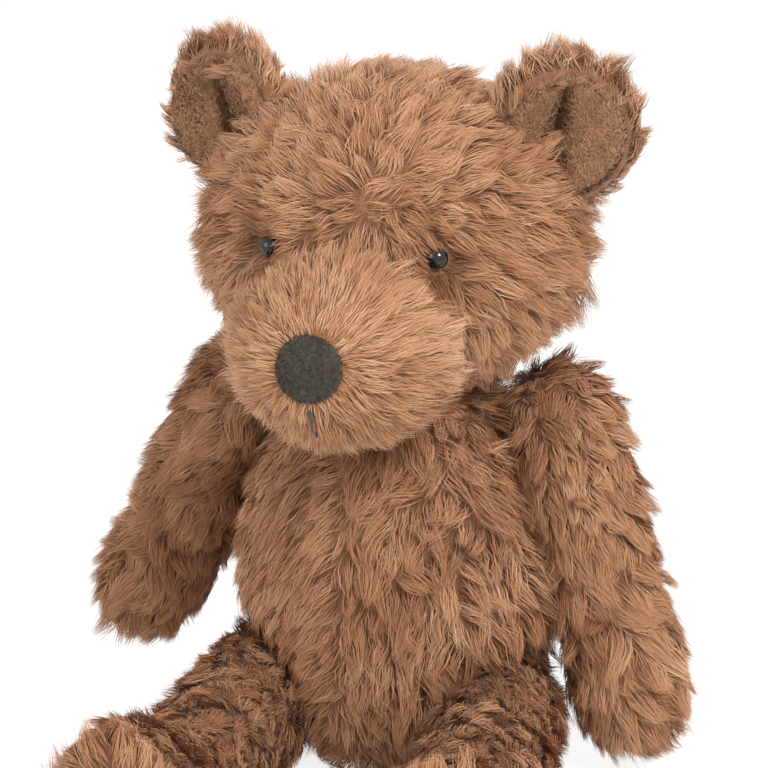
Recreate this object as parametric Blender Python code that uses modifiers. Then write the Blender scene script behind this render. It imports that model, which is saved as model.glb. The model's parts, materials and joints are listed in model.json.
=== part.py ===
"""Jointed teddy bear, sitting, with bolted disc joints at the neck, shoulders and hips.

Units are metres and +Z is up.  The origin is the middle of the flat face that the bear
sits on.  The bear faces -Y, so its own left side is +X.

Each limb, and the head, is a skin of pile fabric around a firm stuffing.  A hardboard
disc inside it and another inside the torso clamp the two skins together: a bolt runs
through both discs, with a steel washer behind each disc and a nut at the torso's end.
"""
from math import acos, cos, pi, radians, sin

import bmesh
import bpy
from mathutils import Matrix, Vector
from mathutils.bvhtree import BVHTree

# ---------------------------------------------------------------- clearances and walls
GAP = 0.0003                 # between pieces that touch
SKIN = 0.005                 # pile fabric with its pile lying flat
JOINT_WALL = 0.0042          # the same fabric squeezed flat under a joint disc
BORE_CLEARANCE = 0.0003      # round the bolt, in skins, discs and washers
MERGE = 0.00001

# ---------------------------------------------------------------- torso
SEAT_RADIUS = 0.034
HIP_WIDTH = 0.094
BELLY_WIDTH = 0.103
BELLY_DEPTH = 0.094
BELLY_HEIGHT = 0.059
SHOULDER_WIDTH = 0.077
NECK_WIDTH = 0.046
NECK_HEIGHT = 0.129
TORSO_TOP = 0.010            # the round form's tips, past the flat neck and the seat
TORSO_END = 0.004            # its end rings, past the neck and over the seat
WAIST_FULLNESS = 0.003       # between the shoulders and the belly

# ---------------------------------------------------------------- head
HEAD_WIDTH = 0.116
HEAD_DEPTH = 0.108
HEAD_HEIGHT = 0.100
HEAD_FORWARD = 0.004         # how far the head's middle lies in front of the neck bolt
HEAD_SUNK = 0.006            # how much of its round form the neck's flat takes off
HEAD_RINGS = 6
HEAD_FULLNESS = 1.02         # makes up for what the subdivision takes off
HEAD_TIPS = 1.04
MUZZLE_WIDTH = 0.065
MUZZLE_HEIGHT = 0.056
MUZZLE_REACH = 0.037         # how far the muzzle stands out from the face
MUZZLE_DROP = 0.019          # how far its middle lies under the head's middle
MUZZLE_TIP_OVER = 0.002      # the form's front tip, past the muzzle's reach
MUZZLE_BACK = 0.080          # its back tip, behind the muzzle's reach
# Rings of the muzzle: (behind its reach, how far it is raised, shares of its half width
# and of its half height).
MUZZLE_RINGS = ((0.004, 0.001, 0.50, 0.52),
                (0.014, 0.001, 0.80, 0.82),
                (0.030, 0.000, 0.98, 0.99),
                (0.052, 0.000, 1.02, 1.02),
                (0.070, 0.000, 0.90, 0.90))
NOSE_RADIUS = 0.0095
NOSE_RISE = 0.003            # over the muzzle's middle
NOSE_SET_BACK = 0.0035       # of the felt's flat from the muzzle's reach
NOSE_BEVEL = 0.35            # share of the felt's thickness
NOSE_THICKNESS = 0.0022
NOSE_TILT = radians(12)
MOUTH_LENGTH = 0.009
MOUTH_THREAD = 0.0007
MOUTH_LIFT = 0.0002          # the thread's corners over its own round path
EYE_RADIUS = 0.0036
EYE_SPREAD = 0.025
EYE_RISE = 0.0055            # above the head's middle
EYE_STEM = 0.0012
EYE_STEM_TAIL = 0.0008       # past the washer
EYE_WASHER_RADIUS = 0.0055
EYE_WASHER_THICKNESS = 0.0012
EAR_RADIUS = 0.0265          # of the cup's sphere
EAR_CUP = radians(52)        # half the angle that the cup covers
EAR_BACK_THICKNESS = 0.0035
EAR_LINING_THICKNESS = 0.0020
EAR_SPREAD = 0.052
EAR_RISE = 0.033             # above the head's middle
EAR_SET_BACK = 0.004         # behind the head's middle
EAR_YAW = radians(14)
EAR_LEAN = radians(8)

# ---------------------------------------------------------------- limbs
ARM_LENGTH = 0.126
ARM_THICKNESS = 0.036
ARM_DEPTH = 0.043
ARM_TOP = 0.022              # how far the arm reaches over its bolt
SHOULDER_HEIGHT = 0.107
SHOULDER_INSET = 0.0355      # from the torso's middle to the joint's face
SHOULDER_BACK = 0.004
ARM_LEAN = {"left": radians(16), "right": radians(27)}    # outwards, as their faces slope
ARM_SWING = {"left": radians(0), "right": radians(14)}    # backwards, at rest

LEG_LENGTH = 0.140
LEG_THICKNESS = 0.040
LEG_DEPTH = 0.046
LEG_TOP = 0.0225
FOOT_LENGTH = 0.060
FOOT_HEEL = 0.020            # from the leg's middle line back to the heel
HIP_HEIGHT = 0.0222
HIP_INSET = 0.020
HIP_FORWARD = 0.018
LEG_SPLAY = radians(4)       # toes outwards
LEG_SWING = radians(-90)     # sitting: the legs point forwards
LEG_LIFT = radians(8)        # how far a sitting bear's leg can still rise
THIGH_CLEARANCE = 0.0012
PAD_THICKNESS = 0.0018
PAD_BEVEL = 0.94             # where the pad's rounded edge starts, as a share of its radius

LIMB_FLAT = 0.0015           # what the joint's face takes off a limb's thickness
LIMB_TIP = 0.001             # a form's tips, past the limb's length
LIMB_END = 0.006             # its end rings, inside the limb's length

# Rings down a limb: (share of the length under the bolt, share of the thickness,
# share of the depth, how far its middle lies forwards).
ARM_RINGS = ((0.00, 1.00, 1.00, 0.000),
             (0.34, 0.95, 0.90, 0.000),
             (0.62, 0.90, 0.82, 0.001),
             (0.84, 0.96, 0.88, 0.003))
ARM_TOP_RING = (0.78, 0.76)
ARM_PAW_RING = (0.72, 0.66)
PAW_FORWARD = 0.004
LEG_RINGS = ((0.00, 1.00, 1.00, 0.000),
             (0.36, 0.94, 0.88, 0.000),
             (0.66, 0.84, 0.76, -0.001))
LEG_TOP_RING = (0.76, 0.74)

# Rings of the foot: (over the sole, share of its offset forwards, share of the leg's
# thickness, share of the foot's length).
FOOT_RINGS = ((0.024, 0.7, 0.94, 0.46),
              (0.008, 1.0, 1.00, 0.50),
              (-0.004, 1.0, 0.80, 0.38))
FOOT_TIP = 0.008             # the form's tip, under the flat sole
PAD_WIDTH = 0.60             # shares of the leg's thickness and the foot's length
PAD_LENGTH = 0.27

# ---------------------------------------------------------------- joint hardware
DISC_THICKNESS = 0.0025
WASHER_THICKNESS = 0.0010
WASHER_RADIUS = 0.0065
BOLT_RADIUS = 0.0024
BOLT_HEAD_RADIUS = 0.0046
BOLT_HEAD_HEIGHT = 0.0028
BOLT_TAIL = 0.0012           # past the nut
NUT_RADIUS = 0.0046
NUT_HEIGHT = 0.0036
DISC_RADIUS = {"neck": 0.0150, "shoulder": 0.0112, "hip": 0.0140}

# ---------------------------------------------------------------- levels of detail
BIG_SIDES = 10
LIMB_SIDES = 8
DISC_SIDES = 16
PIN_SIDES = 8
EAR_SIDES = 12
FAR = 0.3                    # longer than the bear is wide

SIDES = {"left": 1, "right": -1}


# ================================================================ scene and collections
for old in list(bpy.data.objects):
    bpy.data.objects.remove(old, do_unlink=True)

scene = bpy.context.scene
parts = bpy.data.collections.new("jointed_teddy_bear")
tools = bpy.data.collections.new("cutters")
scene.collection.children.link(parts)
scene.collection.children.link(tools)


def material(name, colour, roughness, metallic=0.0):
    made = bpy.data.materials.new(name)
    made.use_nodes = True
    shader = made.node_tree.nodes["Principled BSDF"]
    shader.inputs["Base Color"].default_value = (*colour, 1.0)
    shader.inputs["Roughness"].default_value = roughness
    shader.inputs["Metallic"].default_value = metallic
    return made


LOOKS = {
    "skin": ((0.36, 0.18, 0.09), 0.95, 0.0),
    "muzzle": ((0.52, 0.31, 0.17), 0.95, 0.0),
    "lining": ((0.38, 0.25, 0.14), 0.90, 0.0),
    "pad": ((0.34, 0.22, 0.13), 0.92, 0.0),
    "stuffing": ((0.62, 0.50, 0.33), 1.00, 0.0),
    "board": ((0.30, 0.19, 0.10), 0.75, 0.0),
    "felt": ((0.055, 0.052, 0.043), 0.95, 0.0),
    "thread": ((0.020, 0.014, 0.010), 0.85, 0.0),
    "eye": ((0.012, 0.008, 0.006), 0.12, 0.0),
    "plastic": ((0.05, 0.05, 0.05), 0.45, 0.0),
    "steel": ((0.55, 0.54, 0.52), 0.38, 1.0),
}


def new_object(name, mesh, look=None, parent=None, local=None):
    """Put a mesh in the scene: a part if it has a look, and otherwise a cutter."""
    made = bpy.data.objects.new(name, mesh)
    if look is None:
        tools.objects.link(made)
        made.hide_render = True
        made.display_type = "WIRE"
    else:
        parts.objects.link(made)
        mesh.materials.append(material(name, *LOOKS[look]))
        mesh.shade_smooth()
    made.parent = parent
    made.matrix_local = local or Matrix()
    return made


def frame(name, place, parent=None):
    """An empty that carries what moves with a joint, with its origin on the axis."""
    made = bpy.data.objects.new(name, None)
    parts.objects.link(made)
    made.empty_display_size = 0.01
    made.parent = parent
    made.matrix_local = place
    return made


def along(axis, origin=(0.0, 0.0, 0.0)):
    """The placement that turns +Z to an axis and moves the origin."""
    turn = Vector((0, 0, 1)).rotation_difference(Vector(axis)).to_matrix().to_4x4()
    return Matrix.Translation(origin) @ turn


# ================================================================ shapes
def bmesh_object(name, shape, look=None, parent=None, local=None):
    mesh = bpy.data.meshes.new(name)
    shape.to_mesh(mesh)
    shape.free()
    return new_object(name, mesh, look, parent, local)


def soft_form(name, ends, sections, sides, look=None, parent=None, inset=0.0):
    """A rounded closed body: a subdivided cage whose rings are the sections.

    ends are the heights of its two tips, top first.  A section is
    (height, middle_x, middle_y, radius_x, radius_y), also top first.
    """
    rows = len(sections) + 1
    shrink = (2 + cos(2 * pi / sides)) / 3       # what subdivision takes off a ring
    cage = bmesh.new()
    bmesh.ops.create_uvsphere(cage, u_segments=sides, v_segments=rows, radius=1.0)
    for vert in cage.verts:
        row = round(acos(max(-1.0, min(1.0, vert.co.z))) * rows / pi)
        if row in (0, rows):
            nearest = sections[0 if row == 0 else -1]
            tip = ends[0] - inset if row == 0 else ends[1] + inset
            vert.co = (nearest[1], nearest[2], tip)
            continue
        height, middle_x, middle_y, radius_x, radius_y = sections[row - 1]
        height += inset * (ends[0] + ends[1] - 2 * height) / (ends[0] - ends[1])
        flat = Vector((vert.co.x, vert.co.y)).normalized() / shrink
        vert.co.x = middle_x + flat.x * (radius_x - inset)
        vert.co.y = middle_y + flat.y * (radius_y - inset)
        vert.co.z = height
    made = bmesh_object(name, cage, look, parent)
    smooth = made.modifiers.new("smooth", "SUBSURF")
    smooth.levels = 1
    smooth.render_levels = 1
    return made


def turned(name, profile, sides, look=None, parent=None, local=None, closed=False):
    """A turned piece; its profile (radius, height) runs down the outer side."""
    mesh = bpy.data.meshes.new(name)
    points = [(radius, 0.0, height) for radius, height in profile]
    edges = [(i, i + 1) for i in range(len(points) - 1)]
    if closed:
        edges.append((len(points) - 1, 0))
    mesh.from_pydata(points, edges, [])
    made = new_object(name, mesh, look, parent, local)
    screw = made.modifiers.new("turn", "SCREW")
    screw.axis = "Z"
    screw.steps = sides
    screw.render_steps = sides
    screw.use_merge_vertices = True
    screw.merge_threshold = MERGE
    screw.use_smooth_shade = False
    return made


def ring(name, inner, outer, low, high, sides, look, parent, local):
    profile = [(outer, high), (outer, low), (inner, low), (inner, high)]
    return turned(name, profile, sides, look, parent, local, closed=True)


def peg(name, radius, low, high, sides, parent=None, local=None):
    """A plain cylinder along local Z, for cutting."""
    shape = bmesh.new()
    bmesh.ops.create_cone(
        shape, cap_ends=True, segments=sides, radius1=radius, radius2=radius,
        depth=high - low, matrix=Matrix.Translation((0, 0, (low + high) / 2)))
    return bmesh_object(name, shape, None, parent, local)


def block(name, low, high, parent=None, local=None):
    """A box between two corners, for cutting."""
    size = Vector(high) - Vector(low)
    middle = (Vector(high) + Vector(low)) / 2
    shape = bmesh.new()
    bmesh.ops.create_cube(shape, size=1.0, matrix=Matrix.LocRotScale(middle, None, size))
    return bmesh_object(name, shape, None, parent, local)


def beyond(name, axis, origin, parent=None):
    """Everything past a plane: a large block that stands on it."""
    return block(name, (-FAR, -FAR, 0), (FAR, FAR, FAR), parent, along(axis, origin))


def cut(target, *cutters):
    for cutter in cutters:
        boolean = target.modifiers.new("cut_" + cutter.name, "BOOLEAN")
        boolean.operation = "DIFFERENCE"
        boolean.solver = "EXACT"
        boolean.object = cutter


# ================================================================ joints
class Joint:
    """Where a limb's frame stands, and the face along which it meets the torso."""

    def __init__(self, name, kind, place, outwards):
        self.name = name
        self.disc = DISC_RADIUS[kind]
        self.frame = frame(name + "_frame", place)
        self.local = along(outwards)             # +Z of the hardware, in the limb's frame
        self.outwards = Vector(outwards)
        self.origin = place.to_translation()
        self.axis = (place.to_3x3() @ self.outwards).normalized()

    def torso_side(self, depth, name):
        """Everything outside the torso's face, or deeper by a wall."""
        return beyond(name, self.axis, self.origin - self.axis * depth)


def joint_places():
    places = [("neck", "neck", Matrix.Translation((0, 0, NECK_HEIGHT)), (0, 0, 1))]
    for side, sign in SIDES.items():
        shoulder = Matrix.Translation((sign * SHOULDER_INSET, SHOULDER_BACK, SHOULDER_HEIGHT))
        shoulder @= Matrix.Rotation(-sign * ARM_LEAN[side], 4, "Y")
        shoulder @= Matrix.Rotation(ARM_SWING[side], 4, "X")
        places.append((side + "_shoulder", "shoulder", shoulder, (sign, 0, 0)))
        hip = Matrix.Translation((sign * HIP_INSET, -HIP_FORWARD, HIP_HEIGHT))
        hip @= Matrix.Rotation(sign * LEG_SPLAY, 4, "Z")
        hip @= Matrix.Rotation(LEG_SWING, 4, "X")
        places.append((side + "_hip", "hip", hip, (sign, 0, 0)))
    return places


JOINTS = {row[0]: Joint(*row) for row in joint_places()}

FACE = GAP / 2
DISC_START = FACE + JOINT_WALL + GAP
DISC_END = DISC_START + DISC_THICKNESS
WASHER_START = DISC_END + GAP
WASHER_END = WASHER_START + WASHER_THICKNESS
HEAD_START = WASHER_END + GAP
HEAD_END = HEAD_START + BOLT_HEAD_HEIGHT
NUT_END = HEAD_START + NUT_HEIGHT
TAIL_END = NUT_END + BOLT_TAIL
BORE = BOLT_RADIUS + BORE_CLEARANCE


def hardware(joint):
    """Discs, washers, bolt and nut, laid out both ways from the joint's face."""
    name = joint.name
    where = (joint.frame, joint.local)
    ring(name + "_limb_disc", BORE, joint.disc, DISC_START, DISC_END, DISC_SIDES,
         "board", *where)
    ring(name + "_torso_disc", BORE, joint.disc, -DISC_END, -DISC_START, DISC_SIDES,
         "board", *where)
    ring(name + "_limb_washer", BORE, WASHER_RADIUS, WASHER_START, WASHER_END, PIN_SIDES,
         "steel", *where)
    ring(name + "_torso_washer", BORE, WASHER_RADIUS, -WASHER_END, -WASHER_START,
         PIN_SIDES, "steel", *where)
    crown = BOLT_HEAD_HEIGHT / 3
    turned(name + "_bolt",
           [(0, HEAD_END), (BOLT_HEAD_RADIUS - crown, HEAD_END),
            (BOLT_HEAD_RADIUS, HEAD_END - crown), (BOLT_HEAD_RADIUS, HEAD_START),
            (BOLT_RADIUS, HEAD_START), (BOLT_RADIUS, -TAIL_END), (0, -TAIL_END)],
           PIN_SIDES, "steel", *where)
    shape = bmesh.new()
    bmesh.ops.create_cone(
        shape, cap_ends=True, segments=6, radius1=NUT_RADIUS, radius2=NUT_RADIUS,
        depth=NUT_HEIGHT, matrix=Matrix.Translation((0, 0, -HEAD_START - NUT_HEIGHT / 2)))
    nut = bmesh_object(name + "_nut", shape, "steel", *where)
    cut(nut, peg(name + "_nut_bore", BORE, -FAR / 2, FAR / 2, PIN_SIDES, *where))


def bolt_hole(joint):
    return peg(joint.name + "_hole", BORE, -2 * TAIL_END, 2 * TAIL_END, PIN_SIDES,
               joint.frame, joint.local)


def pocket(joint, sign, tip):
    """Room in a limb (sign +1) or in the torso (-1) for that side's hardware."""
    disc = joint.disc + GAP
    core = WASHER_RADIUS + GAP
    start = DISC_START - GAP * 0.6              # just clear of the hollow's own face
    heights = [(0, tip + GAP), (core, tip + GAP), (core, DISC_END + GAP),
               (disc, DISC_END + GAP), (disc, start), (0, start)]
    if sign < 0:
        heights = [(radius, -height) for radius, height in reversed(heights)]
    return turned(joint.name + ("_limb_pocket" if sign > 0 else "_torso_pocket"), heights,
                  DISC_SIDES, None, joint.frame, joint.local)


HOLES = {}
LIMB_POCKETS = {}
TORSO_POCKETS = {}
for key, joint in JOINTS.items():
    hardware(joint)
    HOLES[key] = bolt_hole(joint)
    LIMB_POCKETS[key] = pocket(joint, 1, HEAD_END)
    TORSO_POCKETS[key] = pocket(joint, -1, TAIL_END)


# ================================================================ torso
def torso_form(name, inset, wall, look=None):
    """The torso's pear, less the faces and hollows that its limbs lie in.

    inset takes the round form in, and wall takes the flat faces in.
    """
    deep = BELLY_DEPTH / BELLY_WIDTH
    chest = (SHOULDER_WIDTH + BELLY_WIDTH) / 4 + WAIST_FULLNESS
    rows = [(NECK_HEIGHT + TORSO_END, NECK_WIDTH / 2),
            (SHOULDER_HEIGHT + TORSO_END, SHOULDER_WIDTH / 2),
            ((SHOULDER_HEIGHT + BELLY_HEIGHT) / 2, chest),
            (BELLY_HEIGHT, BELLY_WIDTH / 2),
            (HIP_HEIGHT, HIP_WIDTH / 2),
            (TORSO_END, SEAT_RADIUS)]
    sections = [(height, 0, 0, radius, radius * deep) for height, radius in rows]
    made = soft_form(name, (NECK_HEIGHT + TORSO_TOP, -TORSO_TOP), sections, BIG_SIDES, look,
                     None, inset)
    cut(made, beyond(name + "_under", (0, 0, -1), (0, 0, wall)))
    for joint in JOINTS.values():
        if joint.name.endswith("hip"):
            cut(made, thigh_room(joint, name, wall))
        else:
            cut(made, joint.torso_side(FACE + wall, name + "_" + joint.name))
    return made


def thigh_room(joint, name, wall):
    """Where a thigh turns: round its bolt, and from straight down up to its highest.

    The outline lies across the bolt, in the leg's frame at rest, where -Z is forwards
    and -Y is up; it is then drawn out along the bolt.
    """
    radius = LEG_DEPTH / 2 + THIGH_CLEARANCE + wall
    over = pi / 2 - LEG_LIFT
    steps = DISC_SIDES // 4
    outline = [(FAR, radius)]
    for step in range(steps + 1):
        angle = over * step / steps
        outline.append((-radius * sin(angle), radius * cos(angle)))
    outline.append((outline[-1][0] - FAR * sin(LEG_LIFT), outline[-1][1] - FAR * cos(LEG_LIFT)))
    outline.append((FAR, -FAR))
    sign = joint.outwards.x
    shape = bmesh.new()
    near = [shape.verts.new((-sign * (FACE + wall), y, z)) for y, z in outline]
    drawn = bmesh.ops.extrude_face_region(shape, geom=[shape.faces.new(near)])["geom"]
    far_side = [item for item in drawn if isinstance(item, bmesh.types.BMVert)]
    bmesh.ops.translate(shape, verts=far_side, vec=(sign * FAR, 0, 0))
    bmesh.ops.recalc_face_normals(shape, faces=shape.faces)
    return bmesh_object(name + "_" + joint.name, shape, None, joint.frame)


torso_hollow = torso_form("torso_hollow", SKIN, JOINT_WALL)
torso_skin = torso_form("torso_skin", 0.0, 0.0, "skin")
cut(torso_skin, torso_hollow, *HOLES.values(), *TORSO_POCKETS.values())
torso_stuffing = torso_form("torso_stuffing", SKIN + GAP, JOINT_WALL + GAP, "stuffing")
cut(torso_stuffing, *TORSO_POCKETS.values())


# ================================================================ limbs
def limb(joint, name, ends, sections):
    """A limb's skin and stuffing, in its own frame, on the outer side of the face."""
    sign = joint.outwards.x

    def form(label, inset, wall, look=None):
        placed = [(z, sign * x, y, rx, ry) for z, x, y, rx, ry in sections]
        made = soft_form(label, ends, placed, LIMB_SIDES, look, joint.frame, inset)
        cut(made, beyond(label + "_face", -joint.outwards,
                         joint.outwards * (FACE + wall), joint.frame))
        return made

    hollow = form(name + "_hollow", SKIN, JOINT_WALL)
    skin = form(name + "_skin", 0.0, 0.0, "skin")
    cut(skin, hollow, HOLES[joint.name], LIMB_POCKETS[joint.name])
    stuffing = form(name + "_stuffing", SKIN + GAP, JOINT_WALL + GAP, "stuffing")
    cut(stuffing, LIMB_POCKETS[joint.name])
    return skin, hollow, stuffing


def oval(thick, deep, shares):
    return thick * shares[0], deep * shares[1]


def arm(side):
    thick = ARM_THICKNESS / 2
    deep = ARM_DEPTH / 2
    middle = thick - LIMB_FLAT
    low = ARM_TOP - ARM_LENGTH
    sections = [(ARM_TOP - LIMB_END, middle, 0, *oval(thick, deep, ARM_TOP_RING))]
    for down, across, front_to_back, forwards in ARM_RINGS:
        sections.append((low * down, middle, -forwards, thick * across, deep * front_to_back))
    sections.append((low + LIMB_END, middle, -PAW_FORWARD, *oval(thick, deep, ARM_PAW_RING)))
    limb(JOINTS[side + "_shoulder"], side + "_arm", (ARM_TOP + LIMB_TIP, low - LIMB_TIP),
         sections)


def leg(side):
    joint = JOINTS[side + "_hip"]
    sign = joint.outwards.x
    thick = LEG_THICKNESS / 2
    deep = LEG_DEPTH / 2
    middle = thick - LIMB_FLAT
    sole = LEG_TOP - LEG_LENGTH
    toe = FOOT_LENGTH - FOOT_HEEL
    foot_middle = (FOOT_HEEL - toe) / 2
    sections = [(LEG_TOP - LIMB_END, middle, 0, *oval(thick, deep, LEG_TOP_RING))]
    for down, across, front_to_back, forwards in LEG_RINGS:
        sections.append((sole * down, middle, -forwards, thick * across, deep * front_to_back))
    for over, offset, across, length in FOOT_RINGS:
        sections.append((sole + over, middle, foot_middle * offset, thick * across,
                         FOOT_LENGTH * length))
    skin, hollow, stuffing = limb(joint, side + "_leg", (LEG_TOP + LIMB_TIP, sole - FOOT_TIP),
                                  sections)
    for piece, depth in ((skin, 0.0), (hollow, JOINT_WALL), (stuffing, JOINT_WALL + GAP)):
        cut(piece, beyond(piece.name + "_sole", (0, 0, -1), (0, 0, sole + depth), joint.frame))
    pad = turned(side + "_foot_pad",
                 [(0, 1), (PAD_BEVEL, 1), (1, 1 - PAD_BEVEL / 2), (1, 0), (0, 0)],
                 DISC_SIDES, "pad", joint.frame)
    spread = Vector((thick * PAD_WIDTH, FOOT_LENGTH * PAD_LENGTH, PAD_THICKNESS))
    place = Vector((sign * middle, foot_middle, sole - GAP - PAD_THICKNESS))
    size_mesh(pad, spread)
    pad.matrix_local = Matrix.Translation(place)


def size_mesh(piece, spread):
    """Stretch a turned piece to an oval, as a modifier's finished mesh."""
    graph = bpy.context.evaluated_depsgraph_get()
    finished = bpy.data.meshes.new_from_object(piece.evaluated_get(graph))
    piece.modifiers.clear()
    finished.transform(Matrix.Diagonal((*spread, 1.0)))
    piece.data = finished


for side_name in SIDES:
    arm(side_name)
    leg(side_name)


# ================================================================ head
NECK = JOINTS["neck"]
HEAD_MIDDLE = Vector((0, -HEAD_FORWARD, HEAD_HEIGHT / 2 - HEAD_SUNK))


def head_form(name, inset, look=None):
    """The head's round form, in the neck's frame, before the neck's flat is cut."""
    half = HEAD_HEIGHT / 2
    sections = []
    for row in range(1, HEAD_RINGS):
        angle = pi * row / HEAD_RINGS
        full = HEAD_FULLNESS * sin(angle) / 2
        sections.append((HEAD_MIDDLE.z + half * cos(angle), 0, HEAD_MIDDLE.y,
                         HEAD_WIDTH * full, HEAD_DEPTH * full))
    ends = (HEAD_MIDDLE.z + half * HEAD_TIPS, HEAD_MIDDLE.z - half * HEAD_TIPS)
    return soft_form(name, ends, sections, BIG_SIDES, look, NECK.frame, inset)


def neck_flat(piece, depth):
    cut(piece, beyond(piece.name + "_flat", (0, 0, -1), (0, 0, FACE + depth), NECK.frame))


head_hollow = head_form("head_hollow", SKIN)
neck_flat(head_hollow, JOINT_WALL)
head_skin = head_form("head_skin", 0.0, "skin")
neck_flat(head_skin, 0.0)
cut(head_skin, head_hollow, HOLES["neck"], LIMB_POCKETS["neck"])
head_stuffing = head_form("head_stuffing", SKIN + GAP, "stuffing")
neck_flat(head_stuffing, JOINT_WALL + GAP)
cut(head_stuffing, LIMB_POCKETS["neck"])
head_seat = head_form("head_seat", -GAP)          # what is sewn on the head stops here


# ---------------------------------------------------------------- muzzle, nose, mouth
MUZZLE_TIP = HEAD_DEPTH / 2 + MUZZLE_REACH        # from the head's middle, forwards
MUZZLE_FRAME = frame("muzzle_frame", Matrix.Translation(HEAD_MIDDLE - Vector((0, 0, MUZZLE_DROP)))
                     @ Matrix.Rotation(radians(90), 4, "X"), NECK.frame)


def muzzle_form(name, inset, look=None):
    """A blunt dome along local +Z, which points forwards; local +Y is up."""
    sections = []
    for behind, raised, across, upright in MUZZLE_RINGS:
        sections.append((MUZZLE_TIP - behind, 0, raised, MUZZLE_WIDTH / 2 * across,
                         MUZZLE_HEIGHT / 2 * upright))
    return soft_form(name, (MUZZLE_TIP + MUZZLE_TIP_OVER, MUZZLE_TIP - MUZZLE_BACK), sections,
                     BIG_SIDES, look, MUZZLE_FRAME, inset)


NOSE_AXIS = Vector((0, sin(NOSE_TILT), cos(NOSE_TILT)))
NOSE_PLACE = Vector((0, NOSE_RISE, MUZZLE_TIP - NOSE_SET_BACK))

muzzle_hollow = muzzle_form("muzzle_hollow", SKIN)
muzzle_skin = muzzle_form("muzzle_skin", 0.0, "muzzle")
cut(muzzle_skin, beyond("nose_flat", NOSE_AXIS, NOSE_PLACE, MUZZLE_FRAME), muzzle_hollow,
    head_seat)
muzzle_stuffing = muzzle_form("muzzle_stuffing", SKIN + GAP, "stuffing")
cut(muzzle_stuffing, head_seat)

bevel = NOSE_THICKNESS * NOSE_BEVEL
turned("nose_felt",
       [(0, GAP + NOSE_THICKNESS), (NOSE_RADIUS - bevel, GAP + NOSE_THICKNESS),
        (NOSE_RADIUS, GAP + NOSE_THICKNESS - bevel), (NOSE_RADIUS, GAP), (0, GAP)],
       DISC_SIDES, "felt", MUZZLE_FRAME, along(NOSE_AXIS, NOSE_PLACE))


def on_surface(piece, start, direction):
    """The first point of a piece, and its normal there, along a line in its frame."""
    bpy.context.view_layer.update()
    tree = BVHTree.FromObject(piece, bpy.context.evaluated_depsgraph_get())
    point, normal, _, _ = tree.ray_cast(Vector(start), Vector(direction))
    return point, normal


def mouth_stitch():
    """A short thread that runs down the muzzle from just under the nose."""
    start = NOSE_PLACE.y - (NOSE_RADIUS + 3 * MOUTH_THREAD) * cos(NOSE_TILT)
    steps = 4
    curve = bpy.data.curves.new("mouth_stitch", "CURVE")
    curve.dimensions = "3D"
    curve.bevel_depth = MOUTH_THREAD
    curve.bevel_resolution = 1
    curve.use_fill_caps = True
    spline = curve.splines.new("POLY")
    spline.points.add(steps - 1)
    lift = MOUTH_THREAD + GAP + MOUTH_LIFT
    for step, place in enumerate(spline.points):
        height = start - MOUTH_LENGTH * step / (steps - 1)
        point, normal = on_surface(muzzle_skin, (0, height, 1), (0, 0, -1))
        place.co = (*(point + normal * lift), 1.0)
    made = bpy.data.objects.new("mouth_stitch", curve)
    parts.objects.link(made)
    curve.materials.append(material("mouth_stitch", *LOOKS["thread"]))
    made.parent = MUZZLE_FRAME


mouth_stitch()


# ---------------------------------------------------------------- eyes
def eye(side, sign):
    """A bead whose stem goes through the face to a washer that holds it inside."""
    start = HEAD_MIDDLE + Vector((sign * EYE_SPREAD, -1, EYE_RISE))
    surface, normal = on_surface(head_form("eye_ground_" + side, 0.0), start, (0, 1, 0))
    local = along(normal, surface)
    base = 2 * GAP
    washer_top = -(SKIN + GAP)
    washer_low = washer_top - EYE_WASHER_THICKNESS
    stem_end = washer_low - EYE_STEM_TAIL
    steps = 3
    dome = [(EYE_RADIUS * sin(pi / 2 * i / steps), base + EYE_RADIUS * cos(pi / 2 * i / steps))
            for i in range(steps + 1)]
    turned(side + "_eye", [*dome, (EYE_STEM, base), (EYE_STEM, stem_end), (0, stem_end)],
           PIN_SIDES, "eye", NECK.frame, local)
    ring(side + "_eye_washer", EYE_STEM + GAP, EYE_WASHER_RADIUS, washer_low, washer_top,
         PIN_SIDES, "plastic", NECK.frame, local)
    hole = peg(side + "_eye_hole", EYE_STEM + GAP, -FAR / 10, FAR / 20, PIN_SIDES,
               NECK.frame, local)
    well = peg(side + "_eye_well", EYE_RADIUS + GAP, base - GAP, FAR / 10, PIN_SIDES,
               NECK.frame, local)
    room = peg(side + "_eye_room", EYE_WASHER_RADIUS + GAP, stem_end - GAP,
               washer_top + GAP, PIN_SIDES, NECK.frame, local)
    cut(head_skin, hole, well, room)
    cut(head_stuffing, room, hole)
    cut(muzzle_skin, well, hole)


for side_name, side_sign in SIDES.items():
    eye(side_name, side_sign)


# ---------------------------------------------------------------- ears
def cup(name, radius, thickness, look, local):
    """Part of a hollow ball, open to the front: local +Z is the middle of its back."""
    steps = 4
    angles = [EAR_CUP * step / steps for step in range(steps + 1)]
    outer = [(radius * sin(angle), radius * cos(angle)) for angle in angles]
    bore = radius - thickness
    inner = [(bore * sin(angle), bore * cos(angle)) for angle in reversed(angles)]
    made = turned(name, outer + inner, EAR_SIDES, look, NECK.frame, local)
    cut(made, head_seat)


def ear(side, sign):
    place = HEAD_MIDDLE + Vector((sign * EAR_SPREAD, EAR_SET_BACK, EAR_RISE))
    facing = Vector((sign * sin(EAR_YAW), -cos(EAR_YAW), 0.0))
    back = -(facing + Vector((sign * sin(EAR_LEAN), 0, 0))).normalized()
    middle = place - back * EAR_RADIUS * (1 + cos(EAR_CUP)) / 2
    local = along(back, middle)
    cup(side + "_ear_back", EAR_RADIUS, EAR_BACK_THICKNESS, "skin", local)
    cup(side + "_ear_lining", EAR_RADIUS - EAR_BACK_THICKNESS - GAP, EAR_LINING_THICKNESS,
        "lining", local)


for side_name, side_sign in SIDES.items():
    ear(side_name, side_sign)
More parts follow.
